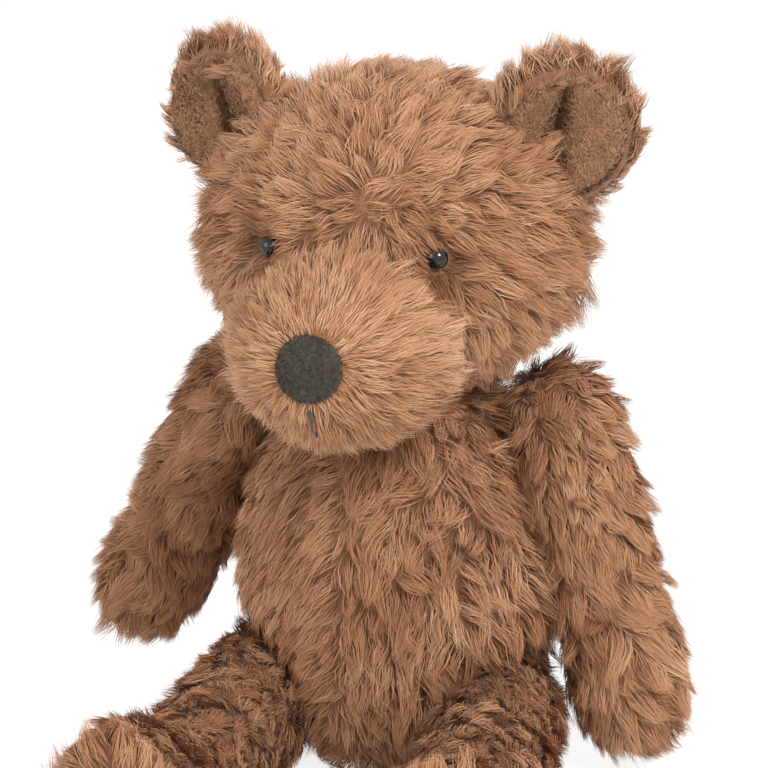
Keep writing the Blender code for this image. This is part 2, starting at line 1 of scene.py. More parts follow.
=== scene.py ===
"""Looks of the jointed teddy bear: stuffed forms under long pile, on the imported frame.

Each stuffed part is a closed form wrapped round its CAD skin.  Its pile is a separate mesh
of thin ribbons, each one a tuft of fibres that grows out of the form, bends along the nap
and gathers with its neighbours into locks.
"""
import json
from math import cos, pi, radians, sin

import bmesh
import bpy
import numpy as np
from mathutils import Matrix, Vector
from mathutils.bvhtree import BVHTree
from mathutils.kdtree import KDTree


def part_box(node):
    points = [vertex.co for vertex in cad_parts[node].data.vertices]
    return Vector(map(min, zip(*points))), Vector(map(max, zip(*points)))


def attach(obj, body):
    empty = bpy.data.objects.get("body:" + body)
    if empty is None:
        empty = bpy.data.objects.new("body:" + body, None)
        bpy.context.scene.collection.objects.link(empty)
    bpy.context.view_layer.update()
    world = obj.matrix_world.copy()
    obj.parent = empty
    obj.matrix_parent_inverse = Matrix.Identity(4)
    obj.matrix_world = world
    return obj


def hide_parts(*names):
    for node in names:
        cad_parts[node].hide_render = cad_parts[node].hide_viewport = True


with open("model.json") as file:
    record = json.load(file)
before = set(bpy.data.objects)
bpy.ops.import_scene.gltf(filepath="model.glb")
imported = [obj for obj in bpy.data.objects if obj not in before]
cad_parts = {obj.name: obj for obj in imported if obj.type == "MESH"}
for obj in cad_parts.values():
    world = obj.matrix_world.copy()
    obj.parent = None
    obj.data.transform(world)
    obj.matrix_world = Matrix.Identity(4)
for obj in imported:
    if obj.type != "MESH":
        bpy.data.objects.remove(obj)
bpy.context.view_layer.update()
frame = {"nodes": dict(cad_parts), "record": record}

MM = 0.001
SEED = 685
DENSITY = 1.0            # share of the tufts that are grown

# ================================================================ joints and frames
JOINTS = {joint["child"]: joint for joint in frame["record"]["behaviour"]["joints"]}


def joint_place(body):
    joint = JOINTS[body]
    return np.array(joint["pos_m"]), np.array(joint["axis"], dtype=float)


def unit(rows):
    rows = np.asarray(rows, dtype=float)
    length = np.linalg.norm(rows, axis=-1, keepdims=True)
    return rows / np.maximum(length, 1e-12)


def along_surface(direction, normals):
    """A direction, or one for each point, laid flat on the surface."""
    direction = np.broadcast_to(np.asarray(direction, dtype=float), normals.shape)
    inward = (direction * normals).sum(1, keepdims=True)
    return unit(direction - inward * normals)


def waves(points, scale, seed, count=7):
    """Smooth noise from -1 to 1: a sum of sine waves that cross at random angles."""
    random = np.random.default_rng(SEED + seed)
    total = np.zeros(len(points))
    for _ in range(count):
        way = unit(random.normal(size=3)) * random.uniform(0.6, 1.5) * 2 * pi / scale
        total += np.sin(points @ way + random.uniform(0, 2 * pi))
    return np.clip(total / (count ** 0.5 * 1.3), -1, 1)


def ramp(values, low, high):
    return np.clip((values - low) / (high - low), 0.0, 1.0)


# ================================================================ materials
def srgb(red, green, blue):
    """A colour given in 8-bit sRGB, as Blender's linear value."""
    values = []
    for part in (red, green, blue):
        part /= 255
        values.append(part / 12.92 if part <= 0.04045 else ((part + 0.055) / 1.055) ** 2.4)
    return (*values, 1.0)


def new_material(name):
    made = bpy.data.materials.new(name)
    made.use_nodes = True
    return made, made.node_tree.nodes, made.node_tree.links


def set_ramp(node, stops):
    elements = node.color_ramp.elements
    while len(elements) > len(stops):
        elements.remove(elements[-1])
    while len(elements) < len(stops):
        elements.new(0.5)
    for element, (place, colour) in zip(elements, stops):
        element.position = place
        element.color = colour


def pile_material(name, shades, root, roughness=0.65, sheen=0.06):
    """Fibre colour from the Strand map: U picks a shade, V runs from root to tip and darkens the root
    with painted shade.
    """
    made, nodes, links = new_material(name)
    shader = nodes["Principled BSDF"]
    shader.inputs["Roughness"].default_value = roughness
    shader.inputs["Specular IOR Level"].default_value = 0.28
    shader.inputs["Sheen Weight"].default_value = sheen
    shader.inputs["Sheen Roughness"].default_value = 0.5
    where = nodes.new("ShaderNodeUVMap")
    where.uv_map = "Strand"
    split = nodes.new("ShaderNodeSeparateXYZ")
    shade = nodes.new("ShaderNodeValToRGB")
    set_ramp(shade, [(i / (len(shades) - 1), srgb(*c)) for i, c in enumerate(shades)])
    # painted shade: each fibre darkens towards its root, as the pile does deep between the tufts
    root_shade = nodes.new("ShaderNodeValToRGB")
    root_shade.color_ramp.interpolation = "EASE"
    set_ramp(root_shade, [(0.0, (*root, 1.0)), (0.55, (0.86, 0.84, 0.82, 1.0)), (1.0, (1.0, 1.0, 1.0, 1.0))])
    mix = nodes.new("ShaderNodeMix")
    mix.data_type = "RGBA"
    mix.blend_type = "MULTIPLY"
    mix.inputs["Factor"].default_value = 1.0
    links.new(where.outputs["UV"], split.inputs[0])
    links.new(split.outputs["X"], shade.inputs["Fac"])
    links.new(split.outputs["Y"], root_shade.inputs["Fac"])
    links.new(shade.outputs["Color"], mix.inputs["A"])
    links.new(root_shade.outputs["Color"], mix.inputs["B"])
    links.new(mix.outputs["Result"], shader.inputs["Base Color"])
    return made


def cloth_material(name, dark, light, scale, bump=0.4, roughness=0.95, sheen=0.3):
    """Woven or felted ground: mottled colour, with a fine fibrous bump."""
    made, nodes, links = new_material(name)
    shader = nodes["Principled BSDF"]
    shader.inputs["Specular IOR Level"].default_value = 0.2
    shader.inputs["Sheen Weight"].default_value = sheen
    shader.inputs["Sheen Roughness"].default_value = 0.6
    place = nodes.new("ShaderNodeTexCoord")
    fine = nodes.new("ShaderNodeTexNoise")
    fine.inputs["Scale"].default_value = scale
    fine.inputs["Detail"].default_value = 5
    fine.inputs["Roughness"].default_value = 0.65
    wide = nodes.new("ShaderNodeTexNoise")
    wide.inputs["Scale"].default_value = scale / 12
    wide.inputs["Detail"].default_value = 2
    both = nodes.new("ShaderNodeMath")
    both.operation = "MULTIPLY_ADD"
    both.inputs[1].default_value = 0.45
    shade = nodes.new("ShaderNodeValToRGB")
    set_ramp(shade, [(0.40, srgb(*dark)), (0.95, srgb(*light))])
    rough = nodes.new("ShaderNodeMapRange")
    rough.inputs["To Min"].default_value = roughness - 0.12
    rough.inputs["To Max"].default_value = min(1.0, roughness + 0.05)
    raised = nodes.new("ShaderNodeBump")
    raised.inputs["Strength"].default_value = bump
    raised.inputs["Distance"].default_value = 0.4 * MM
    links.new(place.outputs["Object"], fine.inputs["Vector"])
    links.new(place.outputs["Object"], wide.inputs["Vector"])
    links.new(wide.outputs["Fac"], both.inputs[0])
    links.new(fine.outputs["Fac"], both.inputs[2])
    links.new(both.outputs[0], shade.inputs["Fac"])
    links.new(shade.outputs["Color"], shader.inputs["Base Color"])
    links.new(fine.outputs["Fac"], rough.inputs["Value"])
    links.new(rough.outputs["Result"], shader.inputs["Roughness"])
    links.new(fine.outputs["Fac"], raised.inputs["Height"])
    links.new(raised.outputs["Normal"], shader.inputs["Normal"])
    return made


def hard_material(name, dark, light, scale, roughness, metallic=0.0, stretch=(1, 1, 1)):
    """Board, steel or plastic: streaked or speckled colour and uneven gloss."""
    made, nodes, links = new_material(name)
    shader = nodes["Principled BSDF"]
    shader.inputs["Metallic"].default_value = metallic
    place = nodes.new("ShaderNodeTexCoord")
    mapping = nodes.new("ShaderNodeMapping")
    mapping.inputs["Scale"].default_value = stretch
    grain = nodes.new("ShaderNodeTexNoise")
    grain.inputs["Scale"].default_value = scale
    grain.inputs["Detail"].default_value = 6
    shade = nodes.new("ShaderNodeValToRGB")
    set_ramp(shade, [(0.35, srgb(*dark)), (0.65, srgb(*light))])
    rough = nodes.new("ShaderNodeMapRange")
    rough.inputs["To Min"].default_value = max(0.03, roughness - 0.08)
    rough.inputs["To Max"].default_value = roughness + 0.08
    raised = nodes.new("ShaderNodeBump")
    raised.inputs["Strength"].default_value = 0.12
    raised.inputs["Distance"].default_value = 0.1 * MM
    links.new(place.outputs["Object"], mapping.inputs["Vector"])
    links.new(mapping.outputs["Vector"], grain.inputs["Vector"])
    links.new(grain.outputs["Fac"], shade.inputs["Fac"])
    links.new(shade.outputs["Color"], shader.inputs["Base Color"])
    links.new(grain.outputs["Fac"], rough.inputs["Value"])
    links.new(rough.outputs["Result"], shader.inputs["Roughness"])
    links.new(grain.outputs["Fac"], raised.inputs["Height"])
    links.new(raised.outputs["Normal"], shader.inputs["Normal"])
    return made


BODY_PILE = pile_material(
    "body_pile",
    [(120, 76, 48), (160, 109, 74), (192, 139, 101), (212, 164, 126), (228, 188, 154)],
    (0.56, 0.49, 0.44))
MUZZLE_PILE = pile_material(
    "muzzle_pile",
    [(152, 100, 67), (184, 131, 93), (206, 154, 114), (220, 174, 136), (234, 196, 162)],
    (0.58, 0.52, 0.47))
LINING_PILE = pile_material(
    "lining_pile",
    [(138, 98, 68), (162, 119, 86), (182, 137, 103), (198, 155, 121)],
    (0.70, 0.66, 0.62), roughness=0.75)
FELT_PILE = pile_material(
    "felt_fuzz", [(52, 46, 38), (70, 63, 54), (84, 77, 66), (104, 95, 82)],
    (0.8, 0.8, 0.8), roughness=0.9)
# The grounds under the pile are coloured darker than it: partly the backing cloth's own colour, partly
# painted shade of the deep pile between the tufts.
BODY_GROUND = cloth_material("body_ground", (102, 66, 43), (140, 96, 66), 900)
MUZZLE_GROUND = cloth_material("muzzle_ground", (116, 76, 50), (160, 114, 80), 900)
LINING_GROUND = cloth_material("lining_ground", (104, 74, 50), (158, 116, 84), 1400, 0.6)
PAD_GROUND = cloth_material("pad_plush", (110, 80, 56), (164, 124, 92), 1400, 0.6)
NOSE_FELT = cloth_material("nose_felt", (44, 40, 33), (84, 78, 68), 2600, 0.8, 0.95, 0.15)
THREAD = cloth_material("mouth_thread", (26, 18, 14), (62, 44, 34), 4000, 0.8)
STUFFING = cloth_material("packed_fibre", (176, 156, 120), (222, 206, 174), 500, 0.9)
EYE = hard_material("eye_bead", (10, 7, 6), (30, 20, 15), 500, 0.14)
BOARD = hard_material("hardboard", (84, 58, 38), (128, 94, 64), 700, 0.72)
STEEL = hard_material("zinc_steel", (150, 148, 144), (196, 194, 188), 900, 0.36, 1.0, (1, 1, 6))
PLASTIC = hard_material("black_plastic", (20, 20, 21), (36, 36, 38), 900, 0.5)


# ================================================================ stuffed forms
def outer_tree(node):
    mesh = frame["nodes"][node].data
    points = [vert.co[:] for vert in mesh.vertices]
    faces = [tuple(face.vertices) for face in mesh.polygons]
    return BVHTree.FromPolygons(points, faces), np.array(points)


def mesh_piece(name, points, faces, material, body):
    mesh = bpy.data.meshes.new(name)
    mesh.from_pydata([tuple(point) for point in points], [], faces)
    mesh.update()
    mesh.shade_smooth()
    mesh.materials.append(material)
    piece = bpy.data.objects.new(name, mesh)
    bpy.context.scene.collection.objects.link(piece)
    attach(piece, body)
    return piece


def weld(piece):
    """Join the points that meet, and turn every face outwards."""
    shape = bmesh.new()
    shape.from_mesh(piece.data)
    bmesh.ops.remove_doubles(shape, verts=shape.verts, dist=1e-6)
    bmesh.ops.recalc_face_normals(shape, faces=shape.faces)
    shape.to_mesh(piece.data)
    shape.free()
    piece.data.shade_smooth()
    return piece


PRESSURE = 4.0
SWELL_FRAMES = 20
SWELL_CAP = 1.8 * MM                             # how far the cloth may travel
FORM_INSET = 1.2 * MM                            # how far inside its CAD skin a form starts
RAY_START = 0.3                                  # metres: well outside the bear


def inflate(form, cap=SWELL_CAP):
    """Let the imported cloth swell: Blender's cloth under pressure, its travel capped."""
    scene = bpy.context.scene
    cloth = form.modifiers.new("cloth", "CLOTH")
    cloth.settings.use_pressure = True
    cloth.settings.uniform_pressure_force = PRESSURE
    cloth.settings.effector_weights.gravity = 0.0
    cloth.settings.tension_stiffness = 10.0
    cloth.settings.bending_stiffness = 0.3
    cloth.point_cache.frame_start = 1
    cloth.point_cache.frame_end = SWELL_FRAMES
    for step in range(1, SWELL_FRAMES + 1):
        scene.frame_set(step)
    before = np.array([vert.co[:] for vert in form.data.vertices])
    swollen = form.evaluated_get(bpy.context.evaluated_depsgraph_get())
    after = np.array([vert.co[:] for vert in swollen.data.vertices])
    form.modifiers.remove(cloth)
    scene.frame_set(1)
    travel = after - before
    reach = np.linalg.norm(travel, axis=1, keepdims=True)
    travel *= np.minimum(1.0, cap / np.maximum(reach, 1e-9))
    form.data.vertices.foreach_set("co", (before + travel).reshape(-1))
    form.data.update()


def wrap(name, node, start, end, rings, sides, material, body, inset=FORM_INSET,
         soften=3, hint=(1.0, 0.0, 0.0)):
    """A closed form that hugs a CAD skin: rays run in to the line from start to end."""
    tree, _ = outer_tree(node)
    start = Vector(start)
    end = Vector(end)
    axis = (end - start).normalized()
    side = (Vector(hint) - axis * axis.dot(Vector(hint))).normalized()
    other = axis.cross(side)
    grid, rays, middles = (np.zeros((rings, sides, 3)) for _ in range(3))
    out = np.zeros((rings, sides))
    for ring in range(rings):
        turn = pi * (ring + 0.5) / rings                 # from the start tip to the end tip
        middle = start.lerp(end, 0.5 - 0.5 * cos(turn) * 0.72)
        for step in range(sides):
            angle = 2 * pi * step / sides
            flat = side * cos(angle) + other * sin(angle)
            way = (flat * sin(turn) - axis * cos(turn)).normalized()
            hit, _, _, _ = tree.ray_cast(middle + way * RAY_START, -way)
            grid[ring, step] = hit if hit is not None else middle
            out[ring, step] = np.dot(grid[ring, step] - middle, way)
            rays[ring, step] = way
            middles[ring, step] = middle
    for _ in range(4):                               # cover bores and wells
        wide = np.pad(out, ((2, 2), (0, 0)), mode="edge")
        near = [np.roll(wide, (up, over), (0, 1))[2:-2] for up in (-2, 0, 2)
                for over in (-2, 0, 2)]
        out = np.maximum(out, np.median(near, axis=0) - 0.8 * MM)
    grid = middles + rays * out[..., None]
    for _ in range(soften):
        around = (np.roll(grid, 1, 1) + np.roll(grid, -1, 1)) / 2
        along = grid.copy()
        along[1:-1] = (grid[:-2] + grid[2:]) / 2
        grid = grid * 0.5 + around * 0.25 + along * 0.25
    points = [grid[0].mean(0)] + list(grid.reshape(-1, 3)) + [grid[-1].mean(0)]
    faces = []
    for step in range(sides):
        after = (step + 1) % sides
        faces.append((0, 1 + step, 1 + after))
        for ring in range(rings - 1):
            low = 1 + ring * sides
            faces.append((low + step, low + sides + step, low + sides + after, low + after))
        last = 1 + (rings - 1) * sides
        faces.append((last + after, last + step, len(points) - 1))
    piece = mesh_piece(name, points, faces, material, body)
    shape = bmesh.new()
    shape.from_mesh(piece.data)
    bmesh.ops.recalc_face_normals(shape, faces=shape.faces)
    shape.normal_update()
    for vert in shape.verts:
        vert.co -= vert.normal * inset
    shape.to_mesh(piece.data)
    shape.free()
    piece.data.shade_smooth()
    inflate(piece)
    return piece


# how far from a joint's centre the pile is pressed away
PRESSED = {"head": 9 * MM, "arm": 7 * MM, "leg": 12 * MM}


def pressed_flat(points):
    """True where a joint's discs clamp two skins together, so that no pile can stand."""
    flat = np.zeros(len(points), dtype=bool)
    for body in JOINTS:
        place, _ = joint_place(body)
        reach = PRESSED[body.split("_")[-1]]
        flat |= np.linalg.norm(points - place, axis=1) < reach
    return flat


def roots_on(piece, count, random, keep=None):
    """Random points spread evenly over a mesh, with its smooth normals."""
    mesh = piece.data
    mesh.calc_loop_triangles()
    corners = np.array([tri.vertices[:] for tri in mesh.loop_triangles])
    points = np.array([vert.co[:] for vert in mesh.vertices])
    normals = np.array([vert.normal[:] for vert in mesh.vertices])
    a, b, c = (points[corners[:, i]] for i in range(3))
    area = np.linalg.norm(np.cross(b - a, c - a), axis=1)
    pick = random.choice(len(corners), size=count, p=area / area.sum())
    u = random.random((count, 1))
    v = random.random((count, 1))
    over = u + v > 1
    u[over] = 1 - u[over]
    v[over] = 1 - v[over]
    w = 1 - u - v
    place = a[pick] * w + b[pick] * u + c[pick] * v
    normal = unit(sum(normals[corners[pick, i]] * share for i, share in enumerate((w, u, v))))
    share = np.ones(count) if keep is None else keep(place, normal)
    stay = (random.random(count) < share) & ~pressed_flat(place)
    return place[stay], normal[stay]


# ================================================================ pile
ROWS = 3                                         # cross-sections of a ribbon, tip included


def nearest_lock(roots, locks, random):
    """For each fibre, the index of the fibre that leads its lock."""
    leaders = random.choice(len(roots), size=locks, replace=False)
    tree = KDTree(locks)
    for index, leader in enumerate(leaders):
        tree.insert(roots[leader], index)
    tree.balance()
    return leaders[[tree.find(root)[1] for root in roots]]


def grow(name, piece, body, material, count, flow, length, lift=0.35, width=0.23 * MM,
         lock=4.6 * MM, pull=0.62, shade=None, mess=0.30, curl=0.16, keep=None, seed=0):
    """Grow pile out of a form.

    flow(points, normals) gives the nap's direction and length(points, normals) the
    fibre's length.  lift is how far a fibre stands off, lock the distance between locks,
    pull how strongly they gather, and mess how much single fibres stray.
    """
    random = np.random.default_rng(SEED + seed)
    roots, normals = roots_on(piece, int(count * DENSITY), random, keep)
    number = len(roots)
    locks = max(6, int(area_of(piece) / lock ** 2))
    owner = nearest_lock(roots, min(locks, number), random)
    heads = roots[owner]
    messy = mess(roots, normals) if callable(mess) else np.full(number, mess)
    turn = messy[owner] * (random.normal(size=number)[owner] * 1.1
                           + waves(heads, 9 * MM, seed + 1) * 0.9)
    turn = turn + messy * (random.normal(size=number) * 0.45 + waves(roots, 18 * MM, seed + 7) * 0.6)
    nap = along_surface(flow(roots, normals), normals)
    across = np.cross(normals, nap)
    nap = nap * np.cos(turn)[:, None] + across * np.sin(turn)[:, None]
    size = length(roots, normals) * random.uniform(0.70, 1.10, number)
    size *= 1 + 0.16 * random.normal(size=number).clip(-2, 2)[owner]
    size = size[:, None]
    rise = lift(roots, normals) if callable(lift) else np.full(number, lift)
    rise = rise + random.normal(size=number)[owner] * messy[owner] * 0.42
    rise = rise + random.normal(size=number) * 0.12 + 0.08 * waves(roots, 16 * MM, seed + 3)
    rise = np.clip(rise, 0.05, 1.4)[:, None]
    tip = (nap * np.cos(rise) + normals * np.sin(rise)) * size
    looseness = 0.5 + 0.5 * waves(roots, 24 * MM, seed + 4)[:, None]
    share = np.clip(pull * (0.60 + 0.6 * looseness) + random.normal(size=(number, 1)) * 0.14,
                    0.0, 0.90)
    gathered = (heads + tip[owner]) - roots
    tip = tip * (1 - share) + gathered * share
    waist = normals * size * (0.22 + 0.34 * np.sin(rise)) + nap * size * 0.26
    waist += across * random.normal(size=(number, 1)) * size * curl
    return build_ribbons(name, piece, body, material, roots, normals, waist, tip, owner,
                         width, shade, random, seed)


def area_of(piece):
    return sum(face.area for face in piece.data.polygons)


def build_ribbons(name, piece, body, material, roots, normals, waist, tip, nearest,
                  width, shade, random, seed):
    """Turn roots, waists and tips into one mesh of tapering ribbons."""
    number = len(roots)
    steps = np.linspace(0.0, 1.0, ROWS)
    centre = np.zeros((ROWS, number, 3))
    for row, step in enumerate(steps):
        centre[row] = roots + 2 * step * (1 - step) * waist + step ** 2 * tip
    tangent = unit(np.gradient(centre, axis=0))
    twist = random.uniform(-1.35, 1.35, (number, 1))
    broadside = unit(normals * np.cos(twist) + np.cross(normals, unit(tip)) * np.sin(twist))
    breadth = width * random.uniform(0.7, 1.3, (number, 1))
    taper = (0.9, 1.0)
    verts = np.zeros((number, 2 * ROWS - 1, 3))
    shades = np.zeros((number, 2 * ROWS - 1, 3))
    outward = unit(normals)
    for row in range(ROWS - 1):
        sideways = unit(np.cross(tangent[row], broadside)) * breadth * taper[row] / 2
        verts[:, 2 * row] = centre[row] - sideways
        verts[:, 2 * row + 1] = centre[row] + sideways
    verts[:, -1] = centre[-1]
    lowest = random.uniform(0.2, 1.4, (number, 1)) * MM
    verts[..., 2] = np.maximum(verts[..., 2], lowest)
    lit = unit(np.cross(np.cross(unit(tip), outward), unit(tip)))
    soft = outward * 0.62 + lit * 0.38 + random.normal(size=(number, 3)) * 0.12
    soft = unit(soft + broadside)                    # each ribbon catches the light its own way
    shades[:] = soft[:, None, :]
    base = np.arange(number)[:, None] * (2 * ROWS - 1)
    quads = np.concatenate([base + np.array([[2 * r, 2 * r + 1, 2 * r + 3, 2 * r + 2]])
                            for r in range(ROWS - 2)], axis=1).reshape(number, ROWS - 2, 4)
    last = base + np.array([[2 * ROWS - 4, 2 * ROWS - 3, 2 * ROWS - 2]])
    corners = np.concatenate([quads.reshape(number, -1), last], axis=1)
    per = corners.shape[1]
    mesh = bpy.data.meshes.new(name)
    mesh.vertices.add(number * (2 * ROWS - 1))
    mesh.vertices.foreach_set("co", verts.reshape(-1))
    mesh.loops.add(number * per)
    mesh.loops.foreach_set("vertex_index", corners.reshape(-1))
    sizes = [4] * (ROWS - 2) + [3]
    starts = np.cumsum([0] + sizes[:-1])
    mesh.polygons.add(number * (ROWS - 1))
    mesh.polygons.foreach_set(
        "loop_start", (np.arange(number)[:, None] * per + starts[None]).reshape(-1))
    tone = (shade(roots, normals) if shade is not None else np.full(number, 0.5))
    tone = tone + 0.12 * waves(roots, 20 * MM, seed + 5) + random.normal(size=number) * 0.11
    tone = tone + 0.14 * waves(roots[nearest], 5 * MM, seed + 6)
    tone = np.clip(tone, 0.02, 0.98)
    heights = np.repeat(steps, 2)[:-1]
    offsets = np.tile([-0.0015, 0.0015], ROWS)[:-1]
    offsets[-1] = 0.0
    flat_u = tone[:, None] + offsets[None]
    flat_v = np.broadcast_to(heights, (number, len(heights)))
    vertex_uv = np.stack([flat_u, np.clip(flat_v, 0.002, 0.998)], axis=2).reshape(-1, 2)
    loop_uv = vertex_uv[corners.reshape(-1)]
    for layer in ("OFBake", "Strand"):
        mesh.uv_layers.new(name=layer)
        mesh.uv_layers[layer].data.foreach_set("uv", loop_uv.reshape(-1))
    mesh.update(calc_edges=True)
    mesh.validate()
    mesh.shade_smooth()
    mesh.normals_split_custom_set_from_vertices(shades.reshape(-1, 3))
    mesh.materials.append(material)
    made = bpy.data.objects.new(name, mesh)
    bpy.context.scene.collection.objects.link(made)
    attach(made, body)
    return made


# ================================================================ the bear's parts
UP = np.array([0.0, 0.0, 1.0])
SIDEWAYS = np.array([1.0, 0.0, 0.0])
FORWARD = np.array([0.0, -1.0, 0.0])             # the way the bear faces
SEAM_X = -6 * MM                                 # the belly's seam, where the pile parts


def torso():
    low, high = (np.array(corner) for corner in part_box("torso_skin"))
    form = wrap("torso_form", "torso_skin", (0, 0, low[2] + 20 * MM), (0, 0, high[2] - 24 * MM),
                44, 64, BODY_GROUND, "torso")
    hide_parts("torso_skin")

    def flow(points, normals):
        parting = ramp(np.abs(points[:, :1] - SEAM_X), 16 * MM, 0)
        side = np.sign(points[:, :1] - SEAM_X) * np.array([1.0, 0, 0])
        rough = ramp(points[:, :1], -15 * MM, 25 * MM)
        swirl = waves(points, 34 * MM, 11)[:, None] * np.array([1.0, 0, 0.3])
        return -UP - 0.35 * SIDEWAYS * (1 - rough) + side * parting * 0.5 + swirl * rough

    def length(points, normals):
        return 9.5 * MM + 3.5 * MM * ramp(points[:, 0], -15 * MM, 30 * MM)

    def lift(points, normals):
        return 0.36 + 0.32 * ramp(points[:, 0], -20 * MM, 30 * MM)

    def mess(points, normals):
        return 0.10 + 0.34 * ramp(points[:, 0], -20 * MM, 20 * MM)

    def shade(points, normals):
        # painted shade: the pile darkens towards the top of the torso, under the head
        return 0.56 - 0.18 * ramp(points[:, 2], 85 * MM, 115 * MM)

    def keep(points, normals):
        return 1.0 - 0.85 * ramp(-points[:, 2], -7 * MM, -2 * MM)

    grow("torso_pile", form, "torso", BODY_PILE, 64000, flow, length, lift,
         mess=mess, shade=shade, keep=keep, seed=20)


def head():
    low, high = (np.array(corner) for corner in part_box("head_skin"))
    middle = (low + high) / 2
    form = wrap("head_form", "head_skin", middle - 12 * MM * UP, middle + 12 * MM * UP,
                44, 64, BODY_GROUND, "head")
    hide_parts("head_skin")
    whorl = np.array([2 * MM, low[1] + 4 * MM, middle[2] + 18 * MM])

    def flow(points, normals):
        away = unit(points - whorl)
        back = np.array([0.0, 0.6, -0.5])
        near = ramp(np.linalg.norm(points - whorl, axis=1), 10 * MM, 75 * MM)[:, None]
        sag = SIDEWAYS * waves(points, 26 * MM, 12)[:, None] * 0.35
        return away * (1 - near) + back * near + sag

    eyes = [np.array([sum(corner) / 2 for corner in zip(*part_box(side + "_eye"))])
            for side in ("left", "right")]

    def to_eye(points):
        """How far each point is from the nearer eye, across the face."""
        return np.min([np.linalg.norm((points - place) * (1, 0.4, 1), axis=1)
                       for place in eyes], axis=0)

    def length(points, normals):
        full = 9.5 * MM + 3.5 * MM * ramp(np.abs(points[:, 0]), 25 * MM, 55 * MM)
        return full * (1 - 0.34 * ramp(to_eye(points), 11 * MM, 4 * MM))

    def lift(points, normals):
        whirl = ramp(np.linalg.norm(points - whorl, axis=1), 14 * MM, 3 * MM)
        return 0.56 + 0.16 * ramp(np.abs(points[:, 0]), 25 * MM, 55 * MM) + 0.45 * whirl

    def shade(points, normals):
        # Darker towards the sides of the head, and painted shade round the eyes, where the fur dips
        # into their hollows.
        eye_hollow_shade = ramp(to_eye(points), 9 * MM, 4 * MM)
        return 0.58 - 0.12 * ramp(np.abs(points[:, 0]), 30 * MM, 55 * MM) - 0.5 * eye_hollow_shade

    def keep(points, normals):
        return to_eye(points) > 2.8 * MM

    grow("head_pile", form, "head", BODY_PILE, 65000, flow, length, lift,
         shade=shade, keep=keep, seed=40)


def muzzle():
    low, high = (np.array(corner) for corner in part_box("muzzle_skin"))
    middle = (low + high) / 2
    form = wrap("muzzle_form", "muzzle_skin", (0, high[1] + 12 * MM, middle[2]),
                (0, low[1] + 24 * MM, middle[2]), 30, 48, MUZZLE_GROUND, "head")
    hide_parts("muzzle_skin")
    nose = np.array([sum(corner) / 2 for corner in zip(*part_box("nose_felt"))])

    def flow(points, normals):
        return unit(points - nose)

    def length(points, normals):
        away = np.linalg.norm(points - nose, axis=1)
        return 5.0 * MM + 7.0 * MM * ramp(away, 8 * MM, 34 * MM)

    def lift(points, normals):
        return 0.42 - 0.10 * ramp(np.linalg.norm(points - nose, axis=1), 8 * MM, 40 * MM)

    def keep(points, normals):
        away = np.linalg.norm(points - nose, axis=1)
        return ramp(away, 7.4 * MM, 8.6 * MM) * (points[:, 1] < high[1] - 4 * MM)

    grow("muzzle_pile", form, "head", MUZZLE_PILE, 56000, flow, length, lift,
         width=0.21 * MM, lock=3.2 * MM, pull=0.42, mess=0.13, curl=0.10, keep=keep,
         shade=lambda p, n: np.full(len(p), 0.5), seed=60)


def limb_line(node, body):
    """A limb's middle, its longest direction away from its joint, and its reach each way."""
    _, points = outer_tree(node)
    spread = points - points.mean(0)
    _, _, rows = np.linalg.svd(spread, full_matrices=False)
    axis = rows[0]
    pivot, _ = joint_place(body)
    if np.dot(points.mean(0) - pivot, axis) < 0:
        axis = -axis
    reach = spread @ axis
    return points.mean(0), axis, reach.min(), reach.max()


def arm(side):
    node = side + "_arm_skin"
    body = side + "_arm"
    middle, axis, near, far = limb_line(node, body)
    thick = 19 * MM
    form = wrap(side + "_arm_form", node, middle + axis * (near + thick),
                middle + axis * (far - thick), 44, 40, BODY_GROUND, body,
                hint=(1, 0, 0))
    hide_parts(node)
    sign = 1 if side == "left" else -1
    outward = np.array([sign, 0.0, 0.0])

    def reach(points):
        return ((points - middle) @ axis - near) / (far - near)

    def flow(points, normals):
        swirl = waves(points, 30 * MM, 13 + sign)[:, None] * np.cross(axis, outward)
        return axis + 0.25 * outward + 0.7 * swirl

    def length(points, normals):
        return 9.5 * MM + 2.5 * MM * ramp(reach(points), 0.55, 1.0)

    def lift(points, normals):
        squeezed = ramp(-(normals @ outward), 0.4, 0.9)
        return 0.54 + 0.12 * ramp(reach(points), 0.5, 1.0) - 0.40 * squeezed

    def shade(points, normals):
        # painted shade: the bear's right arm, away from the key lamp, is coloured darker than the left;
        # both grow lighter towards the paw
        return 0.50 + (0.02 if sign > 0 else -0.10) + 0.10 * ramp(reach(points), 0.6, 1.0)

    grow(side + "_arm_pile", form, body, BODY_PILE, 42000, flow, length, lift,
         lock=4.8 * MM, pull=0.62, mess=0.34, shade=shade, seed=80 + 10 * sign)


PAD_OVERLAP = 0.5 * MM                           # how far short of the pad's middle the sole stops


def meet_pad(form, pad_middle, axis):
    """Bring the sole out to the back of its foot pad, so that the pad doesn't stand off it."""
    points = np.array([vert.co[:] for vert in form.data.vertices])
    ahead = (points - pad_middle) @ axis
    beside = np.linalg.norm(points - pad_middle - ahead[:, None] * axis, axis=1)
    short = np.maximum(-PAD_OVERLAP - ahead, 0.0) * (ahead > -7 * MM)
    points += (short * ramp(beside, 21 * MM, 17 * MM))[:, None] * axis
    form.data.vertices.foreach_set("co", points.reshape(-1))
    form.data.update()


